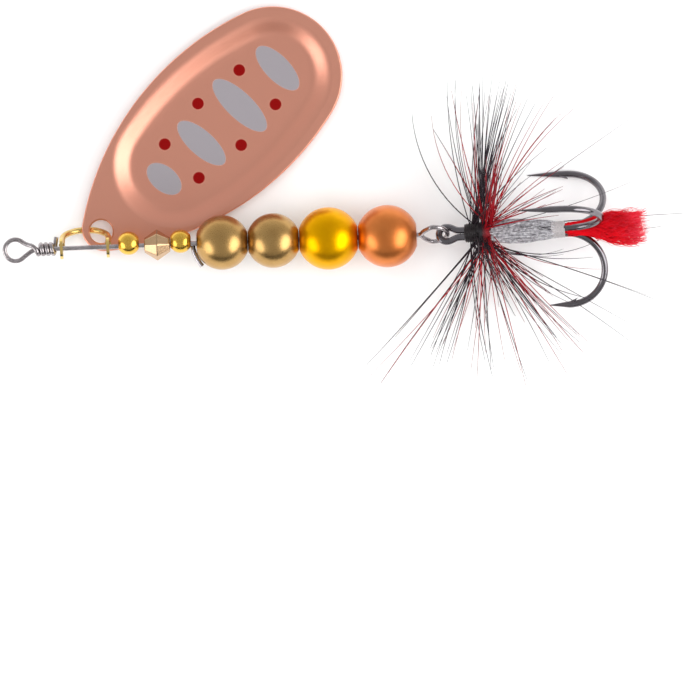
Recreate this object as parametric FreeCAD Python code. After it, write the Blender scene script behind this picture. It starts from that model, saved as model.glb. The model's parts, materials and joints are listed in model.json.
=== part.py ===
"""Inline spinner: a revolving blade on a wire shaft, a row of beads and a dressed treble hook.

Frame: millimetres. The origin is the centre of the line-tie eye, +X runs along the shaft towards
the hook, +Y is the side the blade lies to, and +Z is up from the table that the lure lies on.
"""

import FreeCAD, Part
import math
import os

V = FreeCAD.Vector

# ---------------------------------------------------------------- driving dimensions (mm, degrees)
WIRE_R = 0.30                 # shaft wire
EYE_R = 1.38                  # line-tie eye, centreline
EYE_X = -0.32                 # centre of the eye's round part
WRAP_R = 0.62                 # wraps round the shaft, centreline
WRAP_PITCH = 0.64
WRAP_START_X = 2.45
WRAP_TURNS = 3.5
CUT_END_LENGTH = 1.55

STACK_Z = -0.30               # the large beads hang this far off the shaft, centred on both wires
STACK_START_X = 22.90
BEAD_GAP = 0.03
BRASS_BEAD_R = 3.50
BRASS_BEAD_LENGTH = 6.55
COLOUR_BEAD_R = 4.00
COLOUR_BEAD_LENGTH = 7.53
DOUBLE_WIRE_HOLE_R = 0.66

SMALL_BEAD_R = 1.50
SMALL_BEAD_LENGTH = 2.60
SMALL_BEAD_HOLE_R = 0.70
SMALL_BEAD_DROP_Y = 0.36      # loose on the wire, resting against one side of the hole
FRONT_SMALL_BEAD_X = 14.20
REAR_SMALL_BEAD_X = 20.86
BICONE_X = 17.85
BICONE_R = 2.00
BICONE_LENGTH = 3.30
BICONE_END_R = 0.95
BICONE_HALF_BELT = 0.12       # half of the narrow flat between the two cones
BICONE_HOLE_R = 0.40
BICONE_FACETS = 8

REAR_LOOP_END_X = 55.10
REAR_LOOP_WIDE_X = 53.35
REAR_LOOP_HALF_HEIGHT = 2.15
REAR_LOOP_ROLL = 24.0         # from +Z towards +Y
LOOP_START_X = 51.30
LOOP_SHOULDER = 0.62          # part of the half height reached 1 mm behind the last bead
TAIL_DROP = V(1.10, -2.50, 0.0)   # the cut tail, from where it leaves the bead to its end

CLEVIS_WIRE_R = 0.40
CLEVIS_FRONT_X = 5.60
CLEVIS_REAR_X = 11.55
CLEVIS_DEPTH = 6.10
CLEVIS_FOOT = 1.00            # the wire ends this far from the hole, inside the disc
CLEVIS_ROLL = 22.7            # from -Z towards +Y
CLEVIS_DISC_R = 1.38
CLEVIS_DISC_THICKNESS = 0.36
CLEVIS_HOLE_R = 0.36

BLADE_HOLE = V(10.60, 2.07, -4.84)
BLADE_YAW = 40.0              # from the shaft, seen from above
BLADE_THICKNESS = 0.60
BLADE_HOLE_R = 1.48
BLADE_HOLE_BEVEL = 0.18
BLADE_EDGE_ROUND = 0.20
TIP_CENTRE = 0.55             # along the blade from the hole
TIP_R = 2.90
END_CENTRE = 29.85
END_R = 8.96
SIDE_R = 37.60
DISH_FRONT_CENTRE = 12.70     # the pressed dish's rim, an egg like the outline
DISH_FRONT_R = 8.10
DISH_END_R = 7.70
DISH_SIDE_R = 39.20
DISH_DEPTH = 1.10
DISH_WALL = 2.70              # width of the dish's sloping wall, seen from above
DISH_REACH = 5.00             # from the dish's rim to the flat middle of its floor
DOME_SHARE = 0.05             # part of the depth that the floor's dome makes
DISH_STEPS = 15

HOOK_PIVOT = V(REAR_LOOP_END_X, 0.0, STACK_Z)
HOOK_PITCH = 4.3              # the rear of the hook is raised
HOOK_WIRE_R = 0.435
SHANK_OFFSET = 0.53           # from the hook's axis to each of its three shanks
BEND_R = 4.75
BEND_START = 15.20            # along the hook from its pivot
SINGLE_AZIMUTH = 14.0         # from up towards +Y
HOOK_SPACING = 120.0
EYE_WIDE = 0.95
EYE_FRONT = -1.10
EYE_CENTRE = -0.15
SHANKS_MEET = 1.60
SINGLE_START = 2.60
FIRST_STRAIGHT = 0.90         # wire between the bend and the point, on each of the three hooks
SECOND_STRAIGHT = 0.00
SINGLE_STRAIGHT = 1.40
FIRST_POINT = 4.10            # length of each ground point
SECOND_POINT = 2.55
SINGLE_POINT = 4.20
POINT_TIP_R = 0.05
BARB_HEIGHT = 0.42
BARB_LENGTH = 1.10
BARB_ROOT = 0.12              # how deep the barb stands in the point
BARB_HALF_WIDTH = 0.11
BRAZE_R = 0.66
BRAZE_GAP = 0.005

BUNDLE_R = 0.985              # the dressing's inside, clear of the three shanks
TURN_PROFILE = ((0.0, 0.0), (0.25, 1.0), (0.75, 1.0))   # share of a turn, share of its ridge
# start, end, radius at the front and at the rear, turns, height of the ridges
HEAD_THREAD = (2.20, 3.90, 1.08, 1.12, 8, 0.06)
HACKLE_QUILL = (3.95, 5.60, 1.16, 1.20, 6, 0.10)
TINSEL_BODY = (5.65, 13.35, 1.22, 1.06, 10, 0.05)
TAIL_TIE = (13.40, 15.10, 1.06, 1.04, 8, 0.05)
# distance along the hook and radius of the wool, from its root to its end
WOOL_PROFILE = ((15.30, 0.0), (15.30, 0.07), (16.20, 0.15), (17.20, 0.44), (18.20, 1.00), (19.40, 1.60),
                (21.50, 2.05), (24.00, 2.35), (25.60, 2.15), (26.30, 1.40), (26.50, 0.0))

BARB_ROOT_R = 1.42            # from the hook's axis to where a feather barb starts
BARB_THICK_R = 0.07
BARB_THIN_R = 0.03
TABLE_Z = -6.61               # the table, just under the lowest hook bend
BARB_CLEARANCE = 0.05         # left under the tips of the barbs that stand on the table
# distance along the hook, barbs, azimuth of the first, leans from the hook's axis, length
BLACK_RINGS = ((4.25, 9, 5.0, (104.0, 84.0), 17.5), (4.85, 9, 25.0, (92.0, 110.0, 76.0), 18.5))
RED_RINGS = ((4.55, 8, 22.0, (98.0, 80.0), 17.0), (5.15, 7, 47.0, (88.0, 74.0), 16.0))


# ------------------------------------------------------------------------------- wire forming
def unit(vector):
    return vector * (1.0 / vector.Length)


def arc_from_tangent(start, tangent, end):
    """The arc, or the line, that leaves start along tangent and ends at end."""
    chord = end - start
    along = unit(chord)
    cosine = min(1.0, tangent.dot(along))
    half_turn = math.acos(cosine)
    if half_turn < 1e-4:
        return Part.LineSegment(start, end).toShape()
    side = unit(tangent - along * cosine)
    middle = start + chord * 0.5 + side * (chord.Length / 2 * math.tan(half_turn / 2))
    return Part.Arc(start, middle, end).toShape()


def bend_between(start, start_tangent, end, end_tangent):
    """Two arcs that share a tangent where they meet and match the tangents at both ends."""
    chord = end - start
    if (unit(chord) - start_tangent).Length < 1e-6 and (start_tangent - end_tangent).Length < 1e-6:
        return [Part.LineSegment(start, end).toShape()]
    both = start_tangent + end_tangent
    opening = 2 * (1 - start_tangent.dot(end_tangent))
    reach = chord.dot(both)
    if opening < 1e-9:
        handle = chord.dot(chord) / (2 * reach)
    else:
        handle = (math.sqrt(reach * reach + opening * chord.dot(chord)) - reach) / opening
    near = start + start_tangent * handle
    far = end - end_tangent * handle
    joint = (near + far) * 0.5
    return [arc_from_tangent(start, start_tangent, joint),
            arc_from_tangent(joint, unit(far - near), end)]


def wire_path(stations):
    """A smooth path through stations, each a point and the direction of travel there."""
    edges = []
    for (start, start_way), (end, end_way) in zip(stations, stations[1:]):
        edges += bend_between(start, unit(start_way), end, unit(end_way))
    return Part.Wire(edges)


def bent_wire(stations, radius):
    """A round wire of that radius along the path through stations."""
    start, way = stations[0]
    section = Part.Wire([Part.makeCircle(radius, start, way)])
    return wire_path(stations).makePipeShell([section], True, False)


def along_x(profile):
    """Turns a closed profile of (x, radius) points round the X axis."""
    points = [V(x, radius, 0) for x, radius in profile]
    face = Part.Face(Part.makePolygon(points + points[:1]))
    return face.revolve(V(0, 0, 0), V(1, 0, 0), 360)


def rod_x(radius, start, end):
    return Part.makeCylinder(radius, end - start, V(start, 0, 0), V(1, 0, 0))


# -------------------------------------------------------------------------------- shaft wire
def wrap_station(turns):
    """A point on the wraps and its direction; turn 0 is on top of the shaft."""
    angle = 2 * math.pi * turns
    point = V(WRAP_START_X + WRAP_PITCH * turns, -WRAP_R * math.sin(angle), WRAP_R * math.cos(angle))
    way = V(WRAP_PITCH, -2 * math.pi * WRAP_R * math.cos(angle), -2 * math.pi * WRAP_R * math.sin(angle))
    return point, way


def eye_stations():
    """From the cut end, through the wraps and round the eye, to the start of the straight shaft."""
    last, last_way = wrap_station(WRAP_TURNS)
    stations = [(last + unit(last_way) * CUT_END_LENGTH, last_way * -1)]
    steps = int(WRAP_TURNS * 4)
    for step in range(steps, 0, -1):
        point, way = wrap_station(step / 4)
        stations.append((point, way * -1))
    stations.append((V(WRAP_START_X - 0.15, 0, WRAP_R), V(-0.5, 0.87, 0)))
    for angle, height in ((50, 0.32), (90, 0.26), (180, 0.13), (270, 0.03), (310, 0.0)):
        turn = math.radians(angle)
        point = V(EYE_X + EYE_R * math.cos(turn), EYE_R * math.sin(turn), height)
        stations.append((point, V(-math.sin(turn), math.cos(turn), 0)))
    stations.append((V(WRAP_START_X + 0.2, 0, 0), V(1, 0, 0)))
    return stations


def loop_point(x, height):
    """A point in the rear loop's own plane."""
    roll = math.radians(REAR_LOOP_ROLL)
    return V(x, height * math.sin(roll), STACK_Z + height * math.cos(roll))


def loop_way(along, up):
    return loop_point(along, up) - loop_point(0, 0)


def rear_loop_stations():
    """Out of the last bead, round the rear loop and back through the large beads to the cut tail."""
    tall = REAR_LOOP_HALF_HEIGHT
    shoulder = LOOP_SHOULDER * tall
    shoulder_x = LOOP_START_X + 1.0
    return_z = 2 * STACK_Z
    tail = V(STACK_START_X - 0.48, -0.45, return_z)
    return [
        (V(LOOP_START_X, 0, 0), V(1, 0, 0)),
        (loop_point(shoulder_x, shoulder), loop_way(1, 1)),
        (loop_point(REAR_LOOP_WIDE_X, tall), loop_way(1, 0)),
        (loop_point(REAR_LOOP_END_X, 0), loop_way(0, -1)),
        (loop_point(REAR_LOOP_WIDE_X, -tall), loop_way(-1, 0)),
        (loop_point(shoulder_x, -shoulder), loop_way(-1, 1)),
        (V(LOOP_START_X, 0, return_z), V(-1, 0, 0)),
        (V(STACK_START_X - 0.15, 0, return_z), V(-1, 0, 0)),
        (tail, V(0.10, -1, 0)),
        (tail + TAIL_DROP, V(0.60, -0.80, 0)),
    ]


def shaft_wire():
    return bent_wire(eye_stations() + rear_loop_stations(), WIRE_R)


# -------------------------------------------------------------------------------------- beads
def round_bead(radius, length, hole_radius, centre):
    """A drilled ball with a flat round each end of its hole, turned from its half section."""
    half = length / 2
    rim = math.sqrt(radius * radius - half * half)
    skin = Part.Arc(V(-half, rim, 0), V(0, radius, 0), V(half, rim, 0)).toShape()
    corners = (V(half, rim, 0), V(half, hole_radius, 0), V(-half, hole_radius, 0), V(-half, rim, 0))
    section = Part.Wire([skin] + Part.makePolygon(corners).Edges)
    bead = Part.Face(section).revolve(V(0, 0, 0), V(1, 0, 0), 360)
    bead.translate(centre)
    return bead


def faceted_ring(x, radius):
    """A regular polygon across the X axis."""
    points = []
    for facet in range(BICONE_FACETS + 1):
        turn = 2 * math.pi * facet / BICONE_FACETS
        points.append(V(x, radius * math.cos(turn), radius * math.sin(turn)))
    return Part.makePolygon(points)


def bicone_bead():
    """Two faceted cones, base to base, with a narrow flat belt between them."""
    half = BICONE_LENGTH / 2
    belt = BICONE_HALF_BELT
    profile = ((-half, BICONE_END_R), (-belt, BICONE_R), (belt, BICONE_R), (half, BICONE_END_R))
    bead = Part.makeLoft([faceted_ring(x, radius) for x, radius in profile], True, True)
    bead = bead.cut(rod_x(BICONE_HOLE_R, -BICONE_LENGTH, BICONE_LENGTH))
    bead.translate(V(BICONE_X, 0, 0))
    return bead


def small_bead(x):
    centre = V(x, SMALL_BEAD_DROP_Y, 0)
    return round_bead(SMALL_BEAD_R, SMALL_BEAD_LENGTH, SMALL_BEAD_HOLE_R, centre)


def large_beads():
    """The four large beads in a row, each a hair clear of the next."""
    names = ("front_brass_bead", "second_brass_bead", "gold_bead", "copper_bead")
    sizes = ((BRASS_BEAD_R, BRASS_BEAD_LENGTH),) * 2 + ((COLOUR_BEAD_R, COLOUR_BEAD_LENGTH),) * 2
    beads = {}
    front = STACK_START_X
    for name, (radius, length) in zip(names, sizes):
        centre = V(front + length / 2, 0, STACK_Z)
        beads[name] = round_bead(radius, length, DOUBLE_WIRE_HOLE_R, centre)
        front += length + BEAD_GAP
    return beads


# ------------------------------------------------------------------------------------- clevis
def clevis():
    """A wire bow with a flattened, pierced disc at each foot, free to spin on the shaft."""
    roll = math.radians(CLEVIS_ROLL)
    down = V(0, math.sin(roll), -math.cos(roll))
    half = (CLEVIS_REAR_X - CLEVIS_FRONT_X) / 2
    middle_x = (CLEVIS_REAR_X + CLEVIS_FRONT_X) / 2
    knee = CLEVIS_DEPTH - half
    bow = bent_wire([
        (V(CLEVIS_FRONT_X, 0, 0) + down * CLEVIS_FOOT, down),
        (V(CLEVIS_FRONT_X, 0, 0) + down * knee, down),
        (V(middle_x, 0, 0) + down * CLEVIS_DEPTH, V(1, 0, 0)),
        (V(CLEVIS_REAR_X, 0, 0) + down * knee, down * -1),
        (V(CLEVIS_REAR_X, 0, 0) + down * CLEVIS_FOOT, down * -1),
    ], CLEVIS_WIRE_R)
    feet = []
    for x in (CLEVIS_FRONT_X, CLEVIS_REAR_X):
        face = x - CLEVIS_DISC_THICKNESS / 2
        feet.append(rod_x(CLEVIS_DISC_R, face, face + CLEVIS_DISC_THICKNESS))
    joined = bow.fuse(feet)
    return joined.cut(rod_x(CLEVIS_HOLE_R, 0, CLEVIS_REAR_X + 2))


# -------------------------------------------------------------------------------------- blade
def egg_wire(front_centre, front_r, back_centre, back_r, side_r, height):
    """A closed egg of four tangent arcs: a front arc, two side arcs and a back arc."""
    span = back_centre - front_centre
    to_front = side_r - front_r
    to_back = side_r - back_r
    side_u = (to_front ** 2 - to_back ** 2 + span ** 2) / (2 * span)
    side_v = -math.sqrt(to_front ** 2 - side_u ** 2)
    side_u += front_centre

    def on_arc(centre_u, centre_v, radius, towards_u, towards_v):
        length = math.hypot(towards_u, towards_v)
        return V(centre_u + radius * towards_u / length, centre_v + radius * towards_v / length, height)

    def mirror(point):
        return V(point.x, -point.y, point.z)

    front_join = on_arc(side_u, side_v, side_r, front_centre - side_u, -side_v)
    back_join = on_arc(side_u, side_v, side_r, back_centre - side_u, -side_v)
    side_top = V(side_u, side_v + side_r, height)
    arcs = [
        Part.Arc(mirror(front_join), V(front_centre - front_r, 0, height), front_join),
        Part.Arc(front_join, side_top, back_join),
        Part.Arc(back_join, V(back_centre + back_r, 0, height), mirror(back_join)),
        Part.Arc(mirror(back_join), mirror(side_top), mirror(front_join)),
    ]
    return Part.Wire([arc.toShape() for arc in arcs])


def dish_wire(inset, height):
    """The dish's outline, moved in from its rim by inset."""
    return egg_wire(DISH_FRONT_CENTRE, DISH_FRONT_R - inset, END_CENTRE,
                    DISH_END_R - inset, DISH_SIDE_R - inset, height)


def outline_wire(inset, height):
    """The blade's outline, moved in by inset."""
    return egg_wire(TIP_CENTRE, TIP_R - inset, END_CENTRE, END_R - inset, SIDE_R - inset, height)


def dish_depth(inset):
    """How deep the dish is, that far inside its rim: a soft wall, then a slightly domed floor."""
    wall = min(1.0, inset / DISH_WALL)
    soft = wall * wall * (3 - 2 * wall)
    dome = math.sin(math.pi / 2 * inset / DISH_REACH)
    return DISH_DEPTH * ((1 - DOME_SHARE) * soft + DOME_SHARE * dome)


def pressed_side(height):
    """One side of the sheet: the flat margin, the dish's wall and its floor."""
    sections = []
    for step in range(DISH_STEPS + 1):
        inset = DISH_REACH * step / DISH_STEPS
        sections.append(dish_wire(inset, height - dish_depth(inset)))
    margin = Part.Face(outline_wire(BLADE_EDGE_ROUND, height)).cut(Part.Face(sections[0]))
    return margin.Faces + [Part.Face(sections[-1])] + Part.makeLoft(sections, False, False).Faces


def rounded_edge():
    """The sheet's edge, a half-round along the whole outline."""
    half = BLADE_THICKNESS / 2
    sections = []
    for degrees in range(-90, 91, 30):
        lean = math.radians(degrees)
        inset = BLADE_EDGE_ROUND * (1 - math.cos(lean))
        sections.append(outline_wire(inset, half * math.sin(lean)))
    return Part.makeLoft(sections, False, False).Faces


def blade():
    """A pressed sheet blade: an egg outline, a flat margin, a dish and a bevelled hole."""
    half = BLADE_THICKNESS / 2
    skin = Part.makeShell(pressed_side(half) + pressed_side(-half) + rounded_edge())
    skin.sewShape()
    sheet = Part.Solid(skin)
    if sheet.Volume < 0:
        sheet.reverse()
    sheet = sheet.cut(Part.makeCylinder(BLADE_HOLE_R, BLADE_THICKNESS, V(0, 0, -half)))
    wide = BLADE_HOLE_R + BLADE_HOLE_BEVEL
    for face, way in ((half, -1), (-half, 1)):
        sheet = sheet.cut(Part.makeCone(wide, BLADE_HOLE_R, BLADE_HOLE_BEVEL, V(0, 0, face), V(0, 0, way)))
    sheet.rotate(V(0, 0, 0), V(0, 0, 1), BLADE_YAW)
    sheet.translate(BLADE_HOLE)
    return sheet


# -------------------------------------------------------------------------------- treble hook
def across(azimuth, radius):
    """A step from the hook's axis; azimuth runs from up towards +Y."""
    turn = math.radians(azimuth)
    return V(0, radius * math.sin(turn), radius * math.cos(turn))


def at(distance, azimuth, radius):
    return V(distance, 0, 0) + across(azimuth, radius)


def placed(shape):
    """Moves a shape from the hook's own axes to where the hook hangs on the rear loop."""
    shape.rotate(V(0, 0, 0), V(0, 1, 0), -HOOK_PITCH)
    shape.translate(HOOK_PIVOT)
    return shape


def bend_stations(azimuth, straight):
    """From the shank round the bend to where the point begins, straight mm past the bend."""
    arm = SHANK_OFFSET + 2 * BEND_R
    stations = [
        (at(BEND_START, azimuth, SHANK_OFFSET), V(1, 0, 0)),
        (at(BEND_START + BEND_R, azimuth, SHANK_OFFSET + BEND_R), across(azimuth, 1)),
        (at(BEND_START, azimuth, arm), V(-1, 0, 0)),
    ]
    if straight > 0:
        stations.append((at(BEND_START - straight, azimuth, arm), V(-1, 0, 0)))
    return stations


def point_and_barb(azimuth, base, length):
    """The ground point, tapering forwards from base, and the barb cut up behind it."""
    arm = SHANK_OFFSET + 2 * BEND_R
    cone = Part.makeCone(HOOK_WIRE_R, POINT_TIP_R, length, at(base, azimuth, arm), V(-1, 0, 0))
    inner = arm - HOOK_WIRE_R
    corners = [
        at(base - 0.25, azimuth, inner + BARB_ROOT),
        at(base + BARB_LENGTH, azimuth, inner - BARB_HEIGHT),
        at(base + 0.55 * BARB_LENGTH, azimuth, inner + BARB_ROOT),
    ]
    side = across(azimuth + 90, BARB_HALF_WIDTH)
    wedge = Part.Face(Part.makePolygon([corner - side for corner in corners + corners[:1]]))
    return cone.fuse(wedge.extrude(side * 2))


def reverse(stations):
    return [(point, way * -1) for point, way in reversed(stations)]


def hook_pair():
    """One wire that makes two hooks and the eye between them."""
    first = SINGLE_AZIMUTH + HOOK_SPACING
    second = SINGLE_AZIMUTH - HOOK_SPACING
    sideways = SINGLE_AZIMUTH + 90
    sunk = across(SINGLE_AZIMUTH, -SHANK_OFFSET / 2)

    def eye(distance, offset):
        return at(distance, sideways, offset) + sunk

    side = across(sideways, 1)
    first_arm = bend_stations(first, FIRST_STRAIGHT)
    second_arm = bend_stations(second, SECOND_STRAIGHT)
    eye_round = [
        (at(SHANKS_MEET, first, SHANK_OFFSET), V(-1, 0, 0)),
        (eye(EYE_CENTRE, EYE_WIDE), V(-1, 0, 0)),
        (eye(EYE_FRONT, 0), side * -1),
        (eye(EYE_CENTRE, -EYE_WIDE), V(1, 0, 0)),
        (at(SHANKS_MEET, second, SHANK_OFFSET), V(1, 0, 0)),
    ]
    wire = bent_wire(reverse(first_arm) + eye_round + second_arm, HOOK_WIRE_R)
    points = [point_and_barb(first, BEND_START - FIRST_STRAIGHT, FIRST_POINT),
              point_and_barb(second, BEND_START - SECOND_STRAIGHT, SECOND_POINT)]
    return placed(wire.fuse(points))


def hook_single():
    """The third hook, laid in the groove of the pair."""
    stations = [(at(SINGLE_START, SINGLE_AZIMUTH, SHANK_OFFSET), V(1, 0, 0))]
    stations += bend_stations(SINGLE_AZIMUTH, SINGLE_STRAIGHT)
    wire = bent_wire(stations, HOOK_WIRE_R)
    point = point_and_barb(SINGLE_AZIMUTH, BEND_START - SINGLE_STRAIGHT, SINGLE_POINT)
    return placed(wire.fuse(point))


def hook_braze():
    """Braze metal between the three shanks."""
    start = SINGLE_START + 0.3
    length = BEND_START - 0.4 - start
    core = rod_x(BRAZE_R, start, start + length)
    for hook in range(3):
        axis = across(SINGLE_AZIMUTH + hook * HOOK_SPACING, SHANK_OFFSET)
        shank = rod_x(HOOK_WIRE_R + BRAZE_GAP, start - 1, start + length + 1)
        shank.translate(axis)
        core = core.cut(shank)
    return placed(core)


# ----------------------------------------------------------------------------------- dressing
def wound_sleeve(start, end, front_r, rear_r, turns, bump):
    """Thread or quill wound side by side round the shanks: a sleeve with one ridge a turn."""
    profile = [(start, BUNDLE_R)]
    for ridge in range(turns):
        for share, lift in TURN_PROFILE:
            along = (ridge + share) / turns
            radius = front_r + (rear_r - front_r) * along
            profile.append((start + (end - start) * along, radius + bump * lift))
    profile.append((end, rear_r))
    profile.append((end, BUNDLE_R))
    return placed(along_x(profile))


def wool_tail():
    """The wool tuft: a thin root between the hooks that opens into a soft brush."""
    return placed(along_x(WOOL_PROFILE))


def above_table(point):
    """How high a point in the hook's own axes is above the table."""
    pitch = math.radians(HOOK_PITCH)
    return HOOK_PIVOT.z + point.x * math.sin(pitch) + point.z * math.cos(pitch) - TABLE_Z


def barb(distance, azimuth, lean, full):
    """One stiff barb, a slim cone, and whether it reaches the table and is cut short there."""
    turn = math.radians(lean)
    root = at(distance, azimuth, BARB_ROOT_R)
    way = across(azimuth, math.sin(turn)) + V(math.cos(turn), 0, 0)
    fall = above_table(root) - above_table(root + way * full)
    room = above_table(root) - BARB_CLEARANCE
    length = full * min(1.0, room / max(fall, room))
    return Part.makeCone(BARB_THICK_R, BARB_THIN_R, length, root, way), fall > room


def hackle(rings, standing):
    """The barbs in rings round the wound quill: those that stand on the table, or all the others."""
    barbs = []
    for distance, count, first_azimuth, leans, full in rings:
        for index in range(count):
            azimuth = first_azimuth + 360.0 * index / count
            solid, stands = barb(distance, azimuth, leans[index % len(leans)], full)
            if stands == standing:
                barbs.append(solid)
    return placed(Part.makeCompound(barbs))


# ------------------------------------------------------------------------------------- output
def nodes():
    made = {
        "shaft_wire": shaft_wire(),
        "clevis": clevis(),
        "blade": blade(),
        "front_small_bead": small_bead(FRONT_SMALL_BEAD_X),
        "bicone_bead": bicone_bead(),
        "rear_small_bead": small_bead(REAR_SMALL_BEAD_X),
        "hook_pair": hook_pair(),
        "hook_single": hook_single(),
        "hook_braze": hook_braze(),
        "head_thread": wound_sleeve(*HEAD_THREAD),
        "hackle_quill": wound_sleeve(*HACKLE_QUILL),
        "tinsel_body": wound_sleeve(*TINSEL_BODY),
        "tail_tie": wound_sleeve(*TAIL_TIE),
        "wool_tail": wool_tail(),
        "hackle_black": hackle(BLACK_RINGS, False),
        "hackle_red": hackle(RED_RINGS, False),
        "hackle_lower": hackle(BLACK_RINGS + RED_RINGS, True),
    }
    made.update(large_beads())
    return made


os.makedirs("parts", exist_ok=True)
for name, shape in nodes().items():
    shape.exportStep("parts/" + name + ".step")
    print(name, len(shape.Solids), shape.isValid(), round(shape.Volume, 3))
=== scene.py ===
"""The looks of an inline spinner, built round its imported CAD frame.

Lengths are millimetres unless a comment says otherwise. They are in the frame's axes or, for
what is tied on the hook, in the hook's own: x along the hook from its pivot, and azimuth in
degrees from up towards +Y.
"""

import json
import math
import random

import bpy
from mathutils import Matrix, Vector


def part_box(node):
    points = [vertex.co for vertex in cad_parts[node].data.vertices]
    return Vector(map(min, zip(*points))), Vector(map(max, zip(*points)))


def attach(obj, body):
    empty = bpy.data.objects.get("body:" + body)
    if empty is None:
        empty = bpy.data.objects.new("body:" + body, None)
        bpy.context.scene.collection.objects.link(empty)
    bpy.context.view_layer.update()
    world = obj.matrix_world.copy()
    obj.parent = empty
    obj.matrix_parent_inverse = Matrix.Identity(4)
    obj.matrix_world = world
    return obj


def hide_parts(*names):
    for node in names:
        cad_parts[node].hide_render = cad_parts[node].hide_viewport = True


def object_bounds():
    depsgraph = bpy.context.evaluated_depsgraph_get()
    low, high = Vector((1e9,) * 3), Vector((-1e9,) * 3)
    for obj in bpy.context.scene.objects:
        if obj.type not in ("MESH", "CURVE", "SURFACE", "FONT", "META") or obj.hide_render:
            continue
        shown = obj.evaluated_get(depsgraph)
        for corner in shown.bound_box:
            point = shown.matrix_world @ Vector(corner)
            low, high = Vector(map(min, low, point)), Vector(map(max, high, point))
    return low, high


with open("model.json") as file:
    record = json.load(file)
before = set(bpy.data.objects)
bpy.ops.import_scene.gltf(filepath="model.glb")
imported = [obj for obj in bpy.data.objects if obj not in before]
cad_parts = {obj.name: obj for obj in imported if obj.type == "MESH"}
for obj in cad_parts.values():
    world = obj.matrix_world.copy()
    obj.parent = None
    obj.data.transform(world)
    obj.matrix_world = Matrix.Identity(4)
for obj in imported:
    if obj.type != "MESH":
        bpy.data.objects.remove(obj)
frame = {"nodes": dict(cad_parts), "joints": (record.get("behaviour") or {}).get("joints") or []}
cad_low, cad_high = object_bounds()

MM = 0.001
JOINTS = {joint["name"]: joint for joint in frame["joints"]}
HOOK_PIVOT = Vector(JOINTS["treble_swing"]["pos_m"]) / MM
HOOK_PITCH = math.radians(4.3)       # how far the hook's tail is raised at rest
BLADE_HOLE = Vector(JOINTS["blade_swing"]["pos_m"]) / MM
BLADE_YAW = math.radians(40.0)       # how far the blade stands off the shaft at rest

TABLE_Z = cad_low.z / MM
FLOOR_GAP = 0.01                     # the floor lies this far under the lowest point
FLOOR_HALF = 2500.0

VIEW_CENTRE = Vector((42.04, -14.41, 0.0))
VIEW_UP = Vector((0.0384, 0.99926, 0.0))
VIEW_WIDTH = 89.74                   # of what the camera sees at the shaft's height
VIEW_HEIGHT = 1000.0                 # of the camera above the shaft
SENSOR_WIDTH = 36.0

# The white room's brightness: overhead, and on its near and its far side at two heights.
ROOM_OVERHEAD = 0.50
ROOM_MIDDLE = (0.49, 0.58)
ROOM_HORIZON = (0.0, 0.74)
NEAR_TO_FAR = (-0.7, 0.6)            # between which y of a direction near gives way to far
HORIZON_TO_MIDDLE = (0.32, 0.44)     # between which z of a direction the horizon ends
MIDDLE_TO_OVERHEAD = (0.60, 0.92)

# Soft lights, in metres and watts: place, width, height and power.
LEFT_SOFTBOX = ((-0.385, -0.165, 0.19), 0.42, 0.34, 0.95)
RIGHT_SOFTBOX = ((0.378, -0.075, 0.25), 0.48, 0.34, 1.35)
OVERHEAD_FILL = ((0.05, 0.05, 1.40), 1.40, 1.40, 11.0)
LIGHT_AIM = Vector((0.04, 0.0, 0.0))


# ------------------------------------------------------------------------------ node materials
class Nodes:
    """A material's node tree with short ways to add to it."""

    def __init__(self, name, **sockets):
        self.material = bpy.data.materials.new(name)
        self.material.use_nodes = True
        self.tree = self.material.node_tree
        self.shader = self.tree.nodes["Principled BSDF"]
        for socket, value in sockets.items():
            self.shader.inputs[socket.replace("_", " ")].default_value = value

    def add(self, kind, inputs=None, **settings):
        node = self.tree.nodes.new("ShaderNode" + kind)
        for name, value in settings.items():
            setattr(node, name, value)
        for name, value in (inputs or {}).items():
            self.feed(node.inputs[name], value)
        return node

    def feed(self, socket, value):
        if isinstance(value, bpy.types.NodeSocket):
            self.tree.links.new(value, socket)
        else:
            socket.default_value = value

    def set(self, socket, value):
        self.feed(self.shader.inputs[socket], value)

    def place(self, scale=1000.0):
        """The point on the surface in the frame, in millimetres by default."""
        where = self.add("TexCoord").outputs["Object"]
        scaled = self.add("VectorMath", {0: where, "Scale": scale}, operation="SCALE")
        return scaled.outputs["Vector"]

    def noise(self, point, scale, detail=3.0, roughness=0.55):
        inputs = {"Vector": point, "Scale": scale, "Detail": detail, "Roughness": roughness}
        return self.add("TexNoise", inputs).outputs["Fac"]

    def stretch(self, point, factors):
        stretched = self.add("VectorMath", {0: point, 1: factors}, operation="MULTIPLY")
        return stretched.outputs["Vector"]

    def span(self, value, low, high, start=0.0, end=1.0):
        inputs = {"Value": value, "From Min": low, "From Max": high, "To Min": start, "To Max": end}
        return self.add("MapRange", inputs).outputs["Result"]

    def math(self, operation, first, second=0.0):
        return self.add("Math", {0: first, 1: second}, operation=operation).outputs["Value"]

    def mix(self, share, first, second):
        node = self.add("Mix", data_type="RGBA")
        for index, value in ((0, share), (6, first), (7, second)):
            self.feed(node.inputs[index], value)
        return node.outputs[2]

    def bump(self, height, depth_mm, strength=1.0):
        inputs = {"Height": height, "Distance": depth_mm * MM, "Strength": strength}
        self.set("Normal", self.add("Bump", inputs).outputs["Normal"])


def rgb(red, green, blue):
    return (red, green, blue, 1.0)


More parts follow.
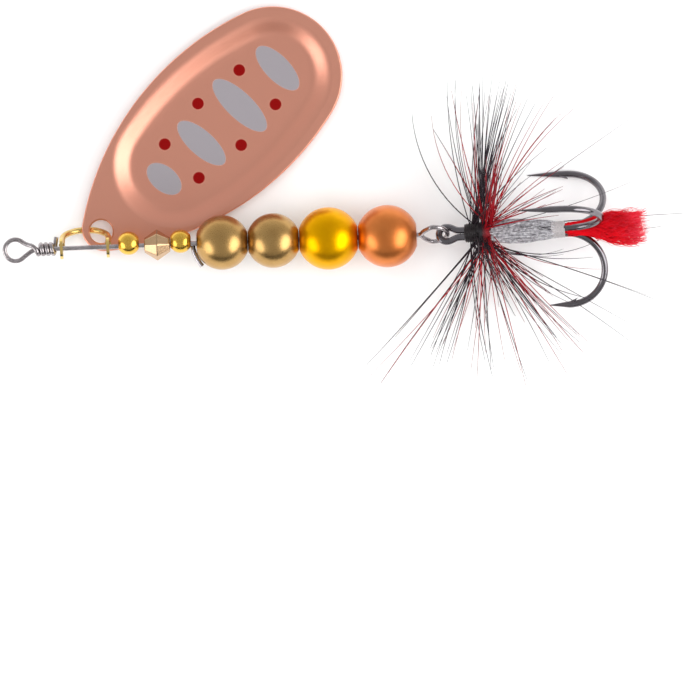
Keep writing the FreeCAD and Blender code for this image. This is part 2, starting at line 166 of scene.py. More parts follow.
def drawn_wire(name, colour, dark, roughness, wear=0.5):
    """Drawn wire: metal with fine lengthwise lines, darker patches and uneven polish."""
    made = Nodes(name, Metallic=1.0)
    point = made.place()
    patches = made.noise(point, scale=0.9)
    lines = made.noise(made.stretch(point, (1.0, 9.0, 9.0)), scale=1.6, detail=5.0)
    made.set("Base Color", made.mix(made.span(patches, 0.40, 0.68, end=wear), colour, dark))
    made.set("Roughness", made.span(lines, 0.3, 0.7, roughness * 0.75, roughness * 1.35))
    made.bump(lines, depth_mm=0.006, strength=0.4)
    return made.material


MOTTLE = 0.35                        # how far a bead's clouds reach towards its shade


def plated_bead(name, colour, shade, roughness, coat=0.0):
    """A plated or lacquered bead: an even film with faint clouds, tiny pits and polish marks."""
    made = Nodes(name, Metallic=1.0, Coat_Weight=coat, Coat_Roughness=0.30)
    point = made.place()
    clouds = made.noise(point, scale=0.55, detail=4.0)
    grain = made.noise(point, scale=14.0, detail=4.0)
    made.set("Base Color", made.mix(made.span(clouds, 0.35, 0.72, end=MOTTLE), colour, shade))
    made.set("Roughness", made.span(grain, 0.3, 0.75, roughness * 0.8, roughness * 1.3))
    made.bump(grain, depth_mm=0.010, strength=0.35)
    return made.material


def fibre(name, root, tip, roughness, sheen=0.0, fade=(0.35, 1.0), painted_shadow_share=0.35):
    """Hair or wool: the root colour fades to the tip's over a share of each fibre's length, with
    painted shadow in noise patches.
    """
    made = Nodes(name, Sheen_Weight=sheen, Roughness=roughness, Specular_IOR_Level=0.12)
    share = made.add("Attribute", attribute_name="along").outputs["Fac"]
    drift = made.noise(made.place(), scale=0.7)
    faded = made.mix(made.span(share, *fade), root, tip)
    # Painted shadow: a near-black mixed into the fibres in noise patches, up to the share given.
    shadow = rgb(0.02, 0.01, 0.012)
    made.set("Base Color", made.mix(made.span(drift, 0.35, 0.7, end=painted_shadow_share), faded, shadow))
    made.bump(made.noise(made.place(), scale=30.0), depth_mm=0.01, strength=0.5)
    return made.material


def wound_thread(name, colour, dark, roughness, front=None, border=0.0):
    """Wound thread, darker in the low grooves of its twist as painted shade; before the border
    along X it takes the front colour, if there is one.
    """
    made = Nodes(name, Roughness=roughness, Specular_IOR_Level=0.3, Sheen_Weight=0.05)
    point = made.place()
    twist = made.noise(made.stretch(point, (10.0, 3.0, 3.0)), scale=2.0, detail=4.0)
    # Painted shade: the dark colour fills the low parts of the twist noise, which are also the
    # bump's grooves.
    shade = made.mix(made.span(twist, 0.35, 0.65), dark, colour)
    if front:
        reach = made.math("ADD", made.add("SeparateXYZ", {"Vector": point}).outputs["X"], twist)
        shade = made.mix(made.span(reach, border + 0.2, border + 0.8), front, shade)
    made.set("Base Color", shade)
    made.bump(twist, depth_mm=0.03, strength=0.8)
    return made.material


def crinkled_tinsel(name, dark, light):
    """Silver tinsel with darker folds, a painted shade of its crinkles."""
    made = Nodes(name, Metallic=0.40, Roughness=0.20, Specular_IOR_Level=0.8)
    folds = made.noise(made.place(), scale=2.5, detail=4.0)
    # Painted shade: noise puts the dark colour in the folds, the pale colour is the silver.
    made.set("Base Color", made.mix(made.span(folds, 0.35, 0.65), dark, light))
    return made.material


# ------------------------------------------------------------------------------ mesh building
def mesh_object(name, vertices, faces, material, along=None, smooth=True):
    """A mesh from millimetre vertices; along is a value for each vertex that a material reads."""
    mesh = bpy.data.meshes.new(name)
    mesh.from_pydata([tuple(vertex * MM for vertex in point) for point in vertices], [], faces)
    if along:
        layer = mesh.attributes.new("along", "FLOAT", "POINT")
        layer.data.foreach_set("value", along)
    mesh.materials.append(material)
    mesh.polygons.foreach_set("use_smooth", [smooth] * len(mesh.polygons))
    mesh.validate()
    made = bpy.data.objects.new(name, mesh)
    bpy.context.scene.collection.objects.link(made)
    return made


class Strands:
    """Many closed tubes gathered in one mesh."""

    def __init__(self, sides):
        self.sides = sides
        self.vertices = []
        self.faces = []
        self.along = []

    def tube(self, path, radius_at, flatten=1.0):
        """A tube along path. radius_at takes the share of the way; flatten squeezes the section."""
        first = len(self.vertices)
        count = len(path)
        side = None
        for index, centre in enumerate(path):
            ahead = path[min(index + 1, count - 1)] - path[max(index - 1, 0)]
            ahead.normalize()
            if side is None:
                side = ahead.orthogonal()
            side = (side - ahead * side.dot(ahead)).normalized()
            other = ahead.cross(side)
            share = index / (count - 1)
            radius = radius_at(share)
            for corner in range(self.sides):
                turn = 2 * math.pi * corner / self.sides
                across = side * (math.cos(turn) * radius)
                across += other * (math.sin(turn) * radius * flatten)
                self.vertices.append(centre + across)
                self.along.append(share)
        for index in range(count - 1):
            near = first + index * self.sides
            far = near + self.sides
            for corner in range(self.sides):
                after = (corner + 1) % self.sides
                self.faces.append((near + corner, near + after, far + after, far + corner))
        last = first + (count - 1) * self.sides
        self.faces.append(tuple(first + corner for corner in reversed(range(self.sides))))
        self.faces.append(tuple(last + corner for corner in range(self.sides)))

    def build(self, name, material):
        return mesh_object(name, self.vertices, self.faces, material, self.along)


LATHE_STEPS = 96
BLUNT_CORNER = 0.985                 # a facet's corner ends at this share of the full radius


def facet_share(turn, facets):
    """The reach of a polygon with blunted corners, as a share of its corner radius."""
    if not facets:
        return 1.0
    pitch = 2 * math.pi / facets
    from_corner = abs((turn + pitch / 2) % pitch - pitch / 2)
    return min(math.cos(pitch / 2) / math.cos(pitch / 2 - from_corner), BLUNT_CORNER)


def lathe(name, profile, centre, material, smooth=True, facets=0):
    """Turns a closed profile of (x, radius) points round an axis along X through centre."""
    vertices = []
    faces = []
    count = len(profile)
    for step in range(LATHE_STEPS):
        turn = 2 * math.pi * step / LATHE_STEPS
        for x, radius in profile:
            radius *= facet_share(turn, facets)
            vertices.append((centre[0] + x, centre[1] + radius * math.cos(turn),
                             centre[2] + radius * math.sin(turn)))
    for step in range(LATHE_STEPS):
        here = step * count
        there = (step + 1) % LATHE_STEPS * count
        for index in range(count):
            after = (index + 1) % count
            faces.append((here + index, here + after, there + after, there + index))
    return mesh_object(name, vertices, faces, material, smooth=smooth)


# --------------------------------------------------------------------------------- the stage
def stage():
    """A pale seamless floor, soft lights and the camera straight above."""
    made = Nodes("pale_floor", Roughness=0.9, Specular_IOR_Level=0.0)
    cloud = made.noise(made.place(scale=1.0), scale=3.0)
    made.set("Base Color", made.mix(cloud, rgb(0.93, 0.93, 0.93), rgb(0.955, 0.955, 0.955)))
    signs = ((-1, -1), (1, -1), (1, 1), (-1, 1))
    corners = [(x * FLOOR_HALF, y * FLOOR_HALF, TABLE_Z - FLOOR_GAP) for x, y in signs]
    floor = mesh_object("floor", corners, [(0, 1, 2, 3)], made.material)

    studio_light()
    up = VIEW_UP.normalized()
    back = Vector((0.0, 0.0, 1.0))
    lens = bpy.data.cameras.new("camera")
    lens.sensor_width = SENSOR_WIDTH
    lens.lens = SENSOR_WIDTH * VIEW_HEIGHT / VIEW_WIDTH
    lens.clip_start = 0.05
    lens.clip_end = 10.0
    camera = bpy.data.objects.new("camera", lens)
    turned = Matrix((up.cross(back), up, back)).transposed().to_4x4()
    camera.matrix_world = Matrix.Translation((VIEW_CENTRE + back * VIEW_HEIGHT) * MM) @ turned
    bpy.context.scene.collection.objects.link(camera)
    bpy.context.scene.camera = camera


def studio_light():
    """A white room that is darkest low on the near side, a softbox on the left and one on the
    right, and a large fill overhead that mirrors don't show."""
    world = bpy.data.worlds.new("studio")
    world.use_nodes = True
    tree = world.node_tree
    where = tree.nodes.new("ShaderNodeTexCoord").outputs["Generated"]
    split = tree.nodes.new("ShaderNodeSeparateXYZ")
    tree.links.new(where, split.inputs["Vector"])
    horizon = map_range(tree, split.outputs["Y"], *NEAR_TO_FAR, *ROOM_HORIZON)
    walls = map_range(tree, split.outputs["Y"], *NEAR_TO_FAR, *ROOM_MIDDLE)
    raised = map_range(tree, split.outputs["Z"], *HORIZON_TO_MIDDLE, 0.0, 1.0)
    lower = blend(tree, raised, horizon, walls)
    high = map_range(tree, split.outputs["Z"], *MIDDLE_TO_OVERHEAD, 0.0, 1.0)
    background = tree.nodes["Background"]
    tree.links.new(blend(tree, high, lower, ROOM_OVERHEAD), background.inputs["Strength"])
    background.inputs["Color"].default_value = rgb(0.98, 0.99, 1.0)
    bpy.context.scene.world = world
    softbox(*LEFT_SOFTBOX)
    softbox(*RIGHT_SOFTBOX)
    fill = softbox(*OVERHEAD_FILL)
    fill.visible_glossy = False
    bpy.context.scene.view_settings.view_transform = "Standard"


def blend(tree, share, first, second):
    """Between two brightnesses, each a socket or a number."""
    node = tree.nodes.new("ShaderNodeMix")
    tree.links.new(share, node.inputs[0])
    for socket, value in ((node.inputs[2], first), (node.inputs[3], second)):
        if isinstance(value, bpy.types.NodeSocket):
            tree.links.new(value, socket)
        else:
            socket.default_value = value
    return node.outputs[0]


def map_range(tree, value, low, high, start, end):
    node = tree.nodes.new("ShaderNodeMapRange")
    node.interpolation_type = "SMOOTHSTEP"
    tree.links.new(value, node.inputs["Value"])
    for name, number in (("From Min", low), ("From Max", high), ("To Min", start), ("To Max", end)):
        node.inputs[name].default_value = number
    return node.outputs["Result"]


def softbox(place, wide, tall, watts):
    """An oval soft light that faces the lure."""
    data = bpy.data.lights.new("softbox", "AREA")
    data.energy = watts
    data.shape = "ELLIPSE"
    data.size = wide
    data.size_y = tall
    lamp = bpy.data.objects.new("softbox", data)
    lamp.location = place
    lamp.rotation_euler = (LIGHT_AIM - lamp.location).to_track_quat("-Z", "Y").to_euler()
    bpy.context.scene.collection.objects.link(lamp)
    return lamp


# ------------------------------------------------------------------------------ metal parts
def dress(node, material):
    """Gives a CAD node a finished material."""
    piece = frame["nodes"][node]
    piece.data.materials.clear()
    piece.data.materials.append(material)


def middle(node):
    low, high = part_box(node)
    return (low + high) / 2 / MM


BALL_STEPS = 48
LIP_STEPS = 6


def bead(node, radius, hole, lip, material):
    """A drilled ball: flats where it is drilled, and a rolled lip at each end of the hole."""
    low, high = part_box(node)
    half = (high.x - low.x) / 2 / MM
    rim = math.sqrt(radius ** 2 - half ** 2)
    start = math.atan2(rim + lip * 0.5, -half + lip * 0.15)
    profile = []
    for index in range(BALL_STEPS + 1):
        turn = start + (math.pi - 2 * start) * index / BALL_STEPS
        profile.append((radius * math.cos(turn), radius * math.sin(turn)))
    rolled = []
    for index in range(1, LIP_STEPS):
        turn = math.pi / 2 * index / LIP_STEPS
        rolled.append((half - lip * (1 - math.cos(turn)), hole + lip * (1 - math.sin(turn))))
    rolled.append((half - lip, hole))
    profile += rolled + [(-x, reach) for x, reach in reversed(rolled)]
    made = lathe(node + "_skin", profile, middle(node), material)
    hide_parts(node)
    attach(made, node)


def bicone(material):
    """The faceted double cone, its edges softened by tumbling and plating."""
    side = (
        (1.65, 0.43), (1.65, 0.86), (1.62, 0.93), (1.56, 0.99),
        (0.16, 1.93), (0.09, 1.98), (0.03, 2.0),
    )
    profile = [(-x, radius) for x, radius in side] + [(x, radius) for x, radius in reversed(side)]
    centre = middle("bicone_bead")
    made = lathe("bicone_bead_skin", profile, centre, material, smooth=False, facets=8)
    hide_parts("bicone_bead")
    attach(made, "bicone_bead")


# The painted marks, in the blade's own axes from its hole: u along the blade, v towards +Y.
# An oval is u, v, its length along each, and its lean in degrees where it has one.
INNER_OVALS = (
    (10.56, -0.39, 3.2, 5.2, 8.0), (17.23, -0.21, 3.2, 7.9, 6.0),
    (24.15, 0.09, 3.4, 9.2, 4.0), (30.98, 0.37, 3.2, 7.4, 2.0),
)
INNER_SPOTS = (
    (13.62, 2.86), (20.31, 3.87), (27.15, 3.49),
    (13.97, -3.31), (20.84, -3.84), (27.65, -2.92),
)
INNER_SPOT_SIZE = 1.56
OUTER_OVALS = (
    (12.68, -0.52, 3.3, 10.5), (19.46, -0.10, 3.8, 12.6),
    (26.03, 0.20, 3.5, 10.9), (32.03, 0.46, 2.8, 7.0),
)
OUTER_SPOTS = (
    (16.19, -4.78), (15.76, 4.39), (23.71, -4.57),
    (23.44, 4.69), (30.10, -4.27), (29.83, 4.50),
)
OUTER_SPOT_SIZE = 1.23
HALO_SIZE = 1.52
# The silver field and its pale outline begin where the dish is this deep below the hole.
OUTER_FIELD = (-1.00, -1.03)
OUTER_OUTLINE = (-0.90, -0.93)


def blade_paint():
    """Rose-copper plating with the painted ovals and spots of both faces."""
    copper = rgb(0.84, 0.38, 0.272)
    red = rgb(0.20, 0.0006, 0.0006)
    made = Nodes("blade_plating", Specular_IOR_Level=0.08)
    unturned = made.add("VectorRotate", {"Vector": made.place(), "Center": tuple(BLADE_HOLE),
                                         "Angle": -BLADE_YAW}, rotation_type="Z_AXIS")
    away = made.add("VectorMath", {0: unturned.outputs["Vector"], 1: tuple(BLADE_HOLE)},
                    operation="SUBTRACT").outputs["Vector"]

    def oval(u, v, length_u, length_v, lean=0.0, soft=0.06):
        """1 inside an oval centred at u, v and leaning by lean degrees, 0 outside."""
        moved = made.add("VectorMath", {0: away, 1: (u, v, 0.0)}, operation="SUBTRACT")
        turned = made.add("VectorRotate", {"Vector": moved.outputs["Vector"],
                                           "Angle": -math.radians(lean)}, rotation_type="Z_AXIS")
        scaled = made.stretch(turned.outputs["Vector"], (2 / length_u, 2 / length_v, 0.0))
        reach = made.add("VectorMath", {0: scaled}, operation="LENGTH").outputs["Value"]
        edge = 2 * soft / max(length_u, length_v)
        return made.span(reach, 1 - edge, 1 + edge, 1.0, 0.0)

    def any_of(masks):
        total = masks[0]
        for mask in masks[1:]:
            total = made.math("MAXIMUM", total, mask)
        return total

    def spots(centres, size, soft):
        return any_of([oval(u, v, size, size, soft=soft) for u, v in centres])

    brushing = made.noise(made.stretch(away, (0.6, 14.0, 4.0)), scale=1.2, detail=4.0)
    clouds = made.noise(away, scale=0.12)
    cloudy_copper = rgb(0.83, 0.362, 0.258)
    ground = made.mix(made.span(clouds, 0.3, 0.7, end=0.3), copper, cloudy_copper)

    inner_ovals = any_of([oval(*item) for item in INNER_OVALS])
    inner_spots = spots(INNER_SPOTS, INNER_SPOT_SIZE, soft=0.06)
    inside = made.mix(inner_ovals, ground, rgb(0.275, 0.253, 0.272))
    inside = made.mix(inner_spots, inside, red)

    depth = made.add("SeparateXYZ", {"Vector": away}).outputs["Z"]
    outer_ovals = any_of([oval(*item) for item in OUTER_OVALS])
    halo = spots(OUTER_SPOTS, HALO_SIZE, soft=0.07)
    outer_spots = spots(OUTER_SPOTS, OUTER_SPOT_SIZE, soft=0.05)
    outside = made.mix(made.span(depth, *OUTER_OUTLINE), ground, rgb(0.86, 0.84, 0.84))
    outside = made.mix(made.span(depth, *OUTER_FIELD), outside, rgb(0.60, 0.61, 0.66))
    outside = made.mix(outer_ovals, outside, copper)
    outside = made.mix(halo, outside, rgb(0.50, 0.44, 0.47))
    outside = made.mix(outer_spots, outside, red)

    # The inner face looks up in the frame's axes, which stay with the blade as it moves.
    normal = made.add("TexCoord").outputs["Normal"]
    faces_up = made.span(made.add("SeparateXYZ", {"Vector": normal}).outputs["Z"], -0.1, 0.1)
    made.set("Base Color", made.mix(faces_up, outside, inside))
    inner_paint = made.math("MULTIPLY", made.math("MAXIMUM", inner_ovals, inner_spots), faces_up)
    rough = made.span(brushing, 0.3, 0.7, 0.36, 0.46)
    made.set("Roughness", made.math("ADD", rough, made.math("MULTIPLY", inner_paint, 0.12)))
    paint = made.math("MAXIMUM", inner_paint, made.math("SUBTRACT", halo, faces_up))
    made.set("Metallic", made.span(paint, 0.0, 1.0, 0.97, 0.0))
    made.bump(brushing, depth_mm=0.006, strength=0.5)
    return made.material


# ------------------------------------------------------------------------- the hook's dressing
def in_frame(x, y, z):
    """A point in the hook's own axes, moved to the frame."""
    cosine = math.cos(HOOK_PITCH)
    sine = math.sin(HOOK_PITCH)
    return HOOK_PIVOT + Vector((x * cosine - z * sine, y, x * sine + z * cosine))


def round_hook(x, azimuth, radius):
    """A point round the hook's axis; azimuth in degrees from up towards +Y."""
    turn = math.radians(azimuth)
    return in_frame(x, radius * math.sin(turn), radius * math.cos(turn))


def on_treble(piece, slot, *nodes):
    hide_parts(*nodes)
    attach(piece, "treble_hook")


WINDING_STEPS = 26                   # to a turn


def core(strands, start, end, radius_at, steps=8):
    """The plain body under a winding, along the hook's axis from start to end."""
    path = [in_frame(start + (end - start) * index / steps, 0, 0) for index in range(steps + 1)]
    strands.tube(path, radius_at)


def winding(strands, start, end, radius_at, turns, thread, wander, chance):
    """Thread wound from start to end, each turn up to wander off its even place."""
    path = []
    last = turns * WINDING_STEPS
    drift = 0.0
    for index in range(last + 1):
        share = index / last
        if index % WINDING_STEPS == 0:
            drift = chance.uniform(-wander, wander)
        off = drift * math.sin(math.pi * (index % WINDING_STEPS) / WINDING_STEPS)
        x = start + (end - start) * share + off
        path.append(round_hook(x, 360.0 * index / WINDING_STEPS, radius_at(share)))
    strands.tube(path, lambda share: thread)


def head_thread(material):
    """Two layers of black thread, the outer one wound back more loosely."""
    chance = random.Random(11)
    strands = Strands(sides=8)
    core(strands, 2.22, 3.88, lambda share: 0.99 + 0.06 * math.sin(math.pi * share))
    winding(strands, 2.28, 3.84, lambda share: 1.06 + 0.08 * math.sin(math.pi * share),
            turns=13, thread=0.085, wander=0.04, chance=chance)
    winding(strands, 3.80, 2.34, lambda share: 1.13 + 0.07 * math.sin(math.pi * share),
            turns=6, thread=0.075, wander=0.10, chance=chance)
    on_treble(strands.build("head_thread_windings", material), "black_thread", "head_thread")


def hackle_quill(material):
    """The wound feather stems that the barbs stand on."""
    chance = random.Random(12)
    strands = Strands(sides=8)
    core(strands, 3.90, 5.62, lambda share: 1.06)
    winding(strands, 3.98, 5.56, lambda share: 1.20,
            turns=7, thread=0.16, wander=0.03, chance=chance)
    on_treble(strands.build("hackle_quill_windings", material), "hackle_quill", "hackle_quill")


TINSEL_STRANDS = 190
TINSEL_STEPS = 14
TINSEL_START = 5.4
TINSEL_LENGTH = 8.4
TINSEL_RADIUS = (1.30, 1.06)         # of the sleeve, at its front and at its rear
TINSEL_LIFTS = (0.02, 0.05, 0.10, 0.22, 0.34)


def tinsel(material):
    """A sleeve of crinkled tinsel strands that lie along the shanks, some of them loose."""
    chance = random.Random(13)
    strands = Strands(sides=6)
    core(strands, 5.60, 13.40, lambda share: 1.16 - 0.16 * share, steps=20)
    front, rear = TINSEL_RADIUS
    for _ in range(TINSEL_STRANDS):
        azimuth = chance.uniform(0, 360)
        start = 5.45 + chance.uniform(0.0, 1.6)
        end = min(13.9, start + chance.uniform(3.5, 8.6))
        lift = chance.choice(TINSEL_LIFTS)
        twist = chance.uniform(-70, 70)
        phase = chance.uniform(0, 6.28)
        path = []
        for index in range(TINSEL_STEPS + 1):
            share = index / TINSEL_STEPS
            x = start + (end - start) * share
            sleeve = front - (front - rear) * (x - TINSEL_START) / TINSEL_LENGTH
            crinkle = 0.035 * math.sin(phase + 11 * share)
            radius = sleeve + lift * math.sin(math.pi * share) + crinkle
            swing = azimuth + twist * share + 6 * math.sin(phase + 7 * share)
            path.append(round_hook(x, swing, radius))
        width = chance.uniform(0.05, 0.13)
        strands.tube(path, lambda share: width * (1 - 0.5 * share ** 3), flatten=0.45)
    on_treble(strands.build("tinsel_strands", material), "silver_tinsel", "tinsel_body")


def tail_tie(material):
    """The even band of pale thread that ends the tinsel."""
    chance = random.Random(14)
    strands = Strands(sides=8)
    core(strands, 13.38, 15.10, lambda share: 0.985)
    winding(strands, 13.44, 15.04, lambda share: 1.03 - 0.02 * share,
            turns=11, thread=0.075, wander=0.02, chance=chance)
    on_treble(strands.build("tail_tie_windings", material), "grey_thread", "tail_tie")


# The tuft's radius at places along the hook, from its root to its brush.
WOOL_X = (15.2, 16.2, 17.2, 18.2, 19.4, 21.5, 24.0, 25.6, 26.4)
WOOL_R = (0.85, 0.90, 0.95, 1.10, 1.50, 1.95, 2.20, 2.25, 2.00)
WOOL_FIBRES = 900
WOOL_STEPS = 18
WOOL_ROOTS = (14.9, 16.6)            # where two in three fibres start
WOOL_LATE_ROOTS = (16.6, 22.0)       # where the others start
WOOL_LENGTHS = (5.0, 10.5)
WOOL_ENDS = (24.3, 26.2)             # between which the middle of the brush ends
WOOL_ROUNDING = 0.5                  # how much sooner its outside ends


def wool_radius(x):
    for index in range(len(WOOL_X) - 1):
        if x <= WOOL_X[index + 1]:
            share = max(0.0, (x - WOOL_X[index]) / (WOOL_X[index + 1] - WOOL_X[index]))
            soft = share * share * (3 - 2 * share)
            return WOOL_R[index] + (WOOL_R[index + 1] - WOOL_R[index]) * soft
    return WOOL_R[-1]


def wool_tail(material):
    """A tuft of kinked wool: dense fibres from a thin root that open into a brush, and fuzz."""
    chance = random.Random(15)
    strands = Strands(sides=4)
    for index in range(WOOL_FIBRES):
        fuzz = index % 4 == 0
        azimuth = chance.uniform(0, 360)
        depth = math.sqrt(chance.uniform(0.02, 1.0))
        start = chance.uniform(*(WOOL_ROOTS if index % 3 else WOOL_LATE_ROOTS))
        end = start + chance.uniform(*WOOL_LENGTHS)
        end = min(end, chance.uniform(*WOOL_ENDS) - WOOL_ROUNDING * depth)
        kink = chance.uniform(0.06, 0.34 if fuzz else 0.20)
        phase = chance.uniform(0, 6.28)
        waves = chance.uniform(7, 20)
        flare = 0.20 if fuzz else 0.0
        path = []
        for step in range(WOOL_STEPS + 1):
            share = step / WOOL_STEPS
            x = start + (end - start) * share
            lump = 1.0 + 0.15 * math.sin(math.radians(3 * azimuth) + 0.8 * x)
            radius = wool_radius(x) * depth * lump * (1.0 + flare * share)
            radius += kink * math.sin(phase + waves * share) * share
            swing = azimuth + 14 * math.sin(phase * 1.7 + waves * 0.8 * share)
            path.append(round_hook(x, swing, max(0.02, radius)))
        thick = chance.uniform(0.022, 0.040) if fuzz else chance.uniform(0.04, 0.075)
        strands.tube(path, lambda share: thick * (1 - 0.75 * share ** 4))
    on_treble(strands.build("wool_tuft", material), "red_wool", "wool_tail")


# ---------------------------------------------------------------------------------- hackle
# Tufts of barbs: barbs, heading seen from above in degrees from the hook's axis towards +Y,
# its spread, height of the far end above the root in degrees, its spread, length, its spread,
# how much a barb curls towards the tail, and the share of red barbs.
TUFTS = (
    (2, 117, 2, 10, 6, 17.4, 0.8, -52, 0.60),
    (7, 98, 3, 10, 9, 18.6, 0.9, -20, 0.40),
    (5, 91, 4, 12, 12, 17.6, 1.0, -6, 0.50),
    (9, 87, 2, 8, 6, 17.6, 1.2, -3, 0.05),
    (15, 75, 2, 8, 6, 17.2, 1.3, -6, 0.03),
    (4, 70, 2, 12, 8, 17.9, 0.8, -8, 0.10),
    (20, 79, 6, 8, 12, 8.0, 1.6, -4, 0.95),
    (5, 59, 4, 14, 9, 17.8, 1.2, -18, 0.90),
    (4, 42, 5, 18, 10, 13.0, 1.5, -12, 0.50),
    (5, 25, 5, 20, 8, 12.4, 2.0, -8, 0.80),
    (3, 13, 4, 18, 8, 10.5, 2.0, -4, 0.90),
    (1, 33, 0.5, 14, 2, 23.2, 0.2, -4, 0.0),
    (1, 13, 0.5, 15, 2, 21.4, 0.2, 10, 0.0),
    (1, 2, 0.5, -7, 1, 25.8, 0.2, -2, 0.0),
    (1, -2, 0.5, -6, 1, 24.2, 0.2, 5, 0.0),
    (2, -20, 0.8, 6, 3, 24.2, 0.6, -5, 0.0),
    (2, -33, 0.8, 2, 3, 24.0, 0.8, -4, 0.0),
    (4, -133, 2, -14, 4, 23.2, 0.9, -2, 0.40),
    (3, -130, 3, -10, 6, 16.5, 1.4, 4, 0.60),
    (7, -117, 3, -12, 6, 17.0, 0.9, 2, 0.35),
    (6, -109, 3, -12, 6, 16.4, 0.9, 3, 0.50),
    (5, -98, 4, -12, 8, 16.8, 1.2, 2, 0.35),
    (5, -86, 4, -12, 8, 16.8, 1.2, 2, 0.40),
    (3, -77, 3, -10, 8, 17.4, 1.0, 2, 0.60),
    (14, -54, 2, -8, 6, 17.6, 1.4, 3, 0.45),
    (14, -50, 7, -8, 10, 8.6, 2.0, 6, 0.95),
    (2, -31, 2, 2, 6, 15.5, 0.8, 42, 0.0),
    (5, -11, 3, 4, 8, 14.2, 1.6, 40, 0.30),
    (13, 80, 15, 56, 12, 13.0, 2.5, 0, 0.40),
    (13, -80, 15, 54, 12, 12.5, 2.5, 0, 0.40),
    (10, 60, 30, -50, 12, 12.0, 3.0, 0, 0.35),
    (10, -76, 26, -50, 12, 12.0, 3.0, 0, 0.35),
)
BARB_STEPS = 14
BLACK_ROOTS = (2.9, 5.0)             # where along the hook the barbs of each colour stand
RED_ROOTS = (4.4, 5.9)
ROOT_RADIUS = 1.05
BARB_RADII = (0.045, 0.075)
BLACK_THICKER = 1.12
BARB_TAPER = 0.65
SHORTEST_BARB = 6.0
HEADING_SPREAD = 0.8                 # the tufts' spreads are taken this many times
HEIGHT_SPREAD = 1.1
CURL_SPREAD = 6
BARB_REST = 0.07                     # how high a barb's middle line lies above the table
NEAR_TABLE = 2.2                     # closer than this a falling barb levels out
LEVELLING = 0.62


def barb_path(chance, root_x, heading, height, length, curl):
    """A springy barb: it curls evenly, and lies along the table if it gets there."""
    swing = math.radians(heading)
    rise = math.radians(height)
    level = math.cos(rise)
    way = Vector((math.cos(swing) * level, math.sin(swing) * level, math.sin(rise)))
    root = in_frame(root_x, 0, 0) + Vector((0, way.y, way.z)).normalized() * ROOT_RADIUS
    turn = math.radians(curl) / BARB_STEPS
    lift = math.radians(chance.uniform(-9, 9)) / BARB_STEPS
    spin = Matrix.Rotation(turn, 3, "Z") @ Matrix.Rotation(lift, 3, "Y")
    step = length / BARB_STEPS
    ground = TABLE_Z + BARB_REST
    path = [root]
    for _ in range(BARB_STEPS):
        way = spin @ way
        if way.z < 0 and path[-1].z - ground < NEAR_TABLE:
            way.z *= LEVELLING
            way.normalize()
        point = path[-1] + way * step
        if point.z < ground:
            point.z = ground
            way.z = 0.0
            way.normalize()
        path.append(point)
    return path


def hackle(black, red):
    """Every tuft's barbs, gathered in one piece for each colour."""
    chance = random.Random(16)
    dark = Strands(sides=5)
    bright = Strands(sides=5)
    for count, heading, spread, height, rise, length, vary, curl, reds in TUFTS:
        for _ in range(count):
            swing = chance.gauss(heading - curl * 0.5, spread * HEADING_SPREAD)
            lean = chance.gauss(height, rise * HEIGHT_SPREAD)
            reach = max(SHORTEST_BARB, chance.gauss(length, vary))
            is_red = chance.random() < reds
            root_x = chance.uniform(*(RED_ROOTS if is_red else BLACK_ROOTS))
            path = barb_path(chance, root_x, swing, lean, reach, chance.gauss(curl, CURL_SPREAD))
            thick = chance.uniform(*BARB_RADII) * (1.0 if is_red else BLACK_THICKER)
            target = bright if is_red else dark
            target.tube(path, lambda share: thick * (1.0 - BARB_TAPER * share ** 2))
    on_treble(dark.build("black_barbs", black), "black_hackle", "hackle_black", "hackle_lower")
    on_treble(bright.build("red_barbs", red), "red_hackle", "hackle_red")


# ------------------------------------------------------------------------------------- scene
def dress_hardware():
    """The wire, the clevis, the blade and the hooks keep their CAD shape and get materials."""
    steel = drawn_wire("steel_wire", rgb(0.50, 0.46, 0.47), rgb(0.20, 0.17, 0.17), roughness=0.24)
    dress("shaft_wire", steel)
    brass = drawn_wire("clevis_brass", rgb(0.86, 0.62, 0.22), rgb(0.55, 0.34, 0.09),
                       roughness=0.20, wear=0.35)
    dress("clevis", brass)
    dress("blade", blade_paint())
    nickel = drawn_wire("hook_black_nickel", rgb(0.21, 0.195, 0.21), rgb(0.11, 0.10, 0.105),
                        roughness=0.14, wear=0.4)
    dress("hook_pair", nickel)
    dress("hook_single", nickel)
    braze = drawn_wire("hook_braze", rgb(0.18, 0.16, 0.13), rgb(0.08, 0.07, 0.06), roughness=0.4)
    dress("hook_braze", braze)


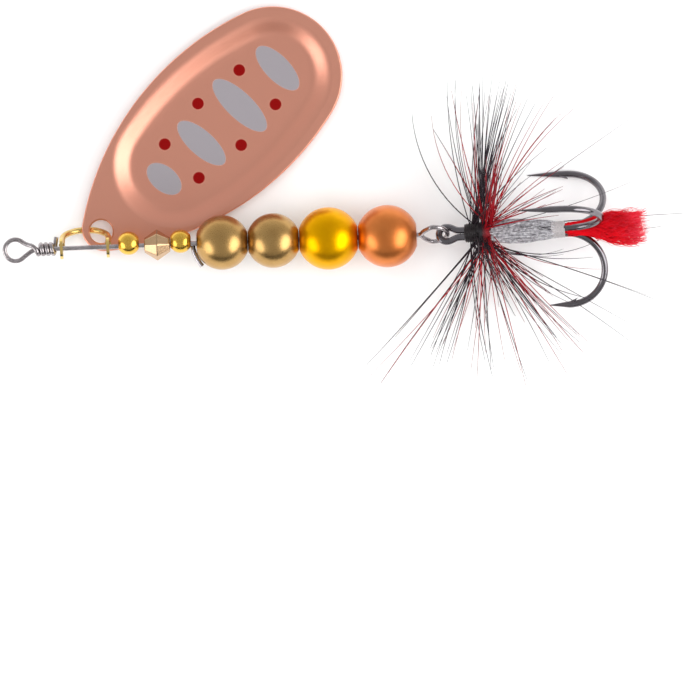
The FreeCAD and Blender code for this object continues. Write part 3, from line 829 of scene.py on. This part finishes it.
def thread_beads():
    """The bicone and the six round beads."""
    champagne = plated_bead("bicone_champagne", rgb(0.60, 0.395, 0.23), rgb(0.44, 0.28, 0.14),
                            roughness=0.22)
    bicone(champagne)
    small_gold = plated_bead("small_bead_gold", rgb(0.88, 0.54, 0.09), rgb(0.62, 0.34, 0.04),
                             roughness=0.24)
    for node in ("front_small_bead", "rear_small_bead"):
        bead(node, radius=1.50, hole=0.70, lip=0.06, material=small_gold)
    antique = plated_bead("antique_brass", rgb(0.54, 0.33, 0.12), rgb(0.38, 0.20, 0.06),
                          roughness=0.30)
    for node in ("front_brass_bead", "second_brass_bead"):
        bead(node, radius=3.50, hole=0.66, lip=0.10, material=antique)
    gold = plated_bead("gold_lacquer", rgb(0.92, 0.45, 0.001), rgb(0.74, 0.29, 0.001),
                       roughness=0.36)
    bead("gold_bead", radius=4.00, hole=0.66, lip=0.10, material=gold)
    copper = plated_bead("copper_lacquer", rgb(0.78, 0.235, 0.050), rgb(0.60, 0.14, 0.02),
                         roughness=0.36, coat=0.3)
    bead("copper_bead", radius=4.00, hole=0.66, lip=0.10, material=copper)


def dress_hook():
    """The thread, quill, tinsel, wool and hackle tied on the treble's shanks."""
    head_thread(wound_thread("black_thread", rgb(0.020, 0.014, 0.016), rgb(0.006, 0.005, 0.005),
                             roughness=0.32))
    hackle_quill(wound_thread("hackle_quill", rgb(0.34, 0.004, 0.012), rgb(0.06, 0.003, 0.006),
                              roughness=0.4, front=rgb(0.012, 0.009, 0.011),
                              border=in_frame(4.7, 0, 0).x))
    tinsel(crinkled_tinsel("silver_tinsel", rgb(0.30, 0.285, 0.31), rgb(0.84, 0.83, 0.86)))
    tail_tie(wound_thread("grey_thread", rgb(0.62, 0.58, 0.58), rgb(0.34, 0.31, 0.32),
                          roughness=0.5))
    wool_tail(fibre("red_wool", rgb(0.80, 0.0008, 0.010), rgb(0.90, 0.045, 0.085),
                    roughness=0.8, sheen=0.05, fade=(0.72, 1.0), painted_shadow_share=0.18))
    black = fibre("black_hackle", rgb(0.022, 0.015, 0.02), rgb(0.05, 0.045, 0.06), roughness=0.38)
    red = fibre("red_hackle", rgb(0.42, 0.004, 0.012), rgb(0.20, 0.02, 0.03),
                roughness=0.42, fade=(0.3, 1.0))
    hackle(black, red)


stage()
dress_hardware()
thread_beads()
dress_hook()
